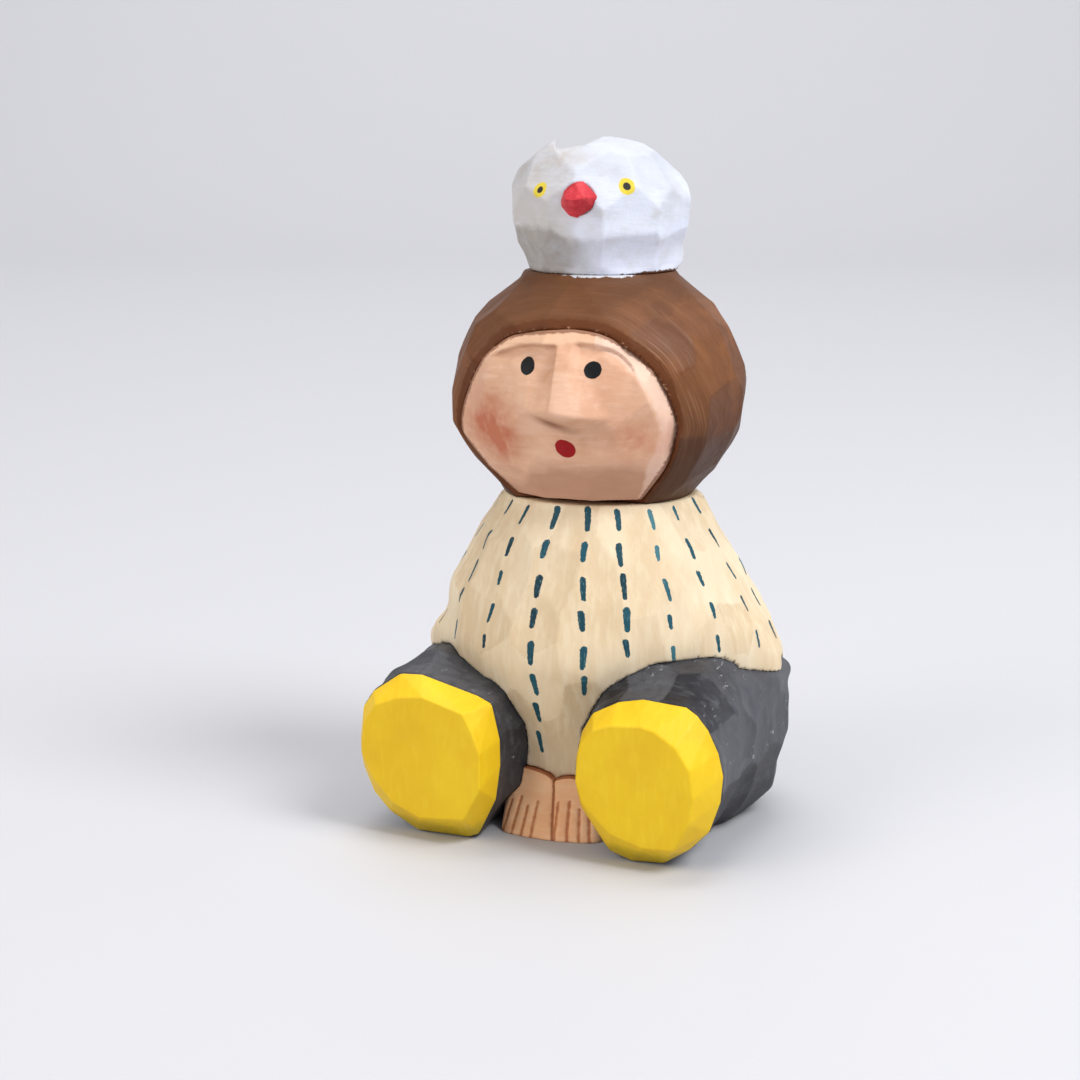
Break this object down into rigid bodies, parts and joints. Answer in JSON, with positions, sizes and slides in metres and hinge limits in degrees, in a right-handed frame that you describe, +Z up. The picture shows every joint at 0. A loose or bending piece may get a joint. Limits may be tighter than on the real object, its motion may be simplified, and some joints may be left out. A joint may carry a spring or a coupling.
{
  "type": "wooden figurine",
  "caption": "Hand-carved and painted wooden seated child with a round bird on its head; the head turns on a dowel.",
  "frame": {"origin": "on the ground, straight below the axis of the neck dowel", "axes": "+Z up, the figure looks towards -Y, and its left side is +X"},
  "size_m": [0.0695, 0.0686, 0.121],
  "materials": {
    "sweater_paint": "cream acrylic over carved wood, with painted teal dashes",
    "trouser_paint": "dark grey acrylic, dry-brushed",
    "sole_paint": "yellow acrylic, satin",
    "skin_paint": "peach acrylic with pink cheeks, over carved wood",
    "hair_paint": "brown acrylic, streaky brush strokes",
    "bird_paint": "white acrylic, thin in places",
    "beak_paint": "coral red acrylic",
    "bare_wood": "unpainted hardwood dowel"
  },
  "bodies": {
    "body": {"seat_block": "trouser_paint", "torso": "sweater_paint", "left_leg": "trouser_paint", "right_leg": "trouser_paint", "left_boot_sole": "sole_paint", "right_boot_sole": "sole_paint", "left_hand": "skin_paint", "right_hand": "skin_paint", "neck_dowel": "bare_wood", "torso_dowel_left": "bare_wood", "torso_dowel_right": "bare_wood", "left_leg_dowel": "bare_wood", "right_leg_dowel": "bare_wood", "left_sole_dowel": "bare_wood", "right_sole_dowel": "bare_wood", "left_hand_dowel": "bare_wood", "right_hand_dowel": "bare_wood"},
    "head": {"hair": "hair_paint", "face": "skin_paint", "bird": "bird_paint", "beak": "beak_paint", "bird_dowel": "bare_wood", "face_dowel": "bare_wood"}
  },
  "joints": [
    {"name": "head_turn", "type": "hinge", "parent": "body", "child": "head", "pos_m": [0, 0, 0.0584], "axis": [0, 0, 1], "continuous": true}
  ]
}
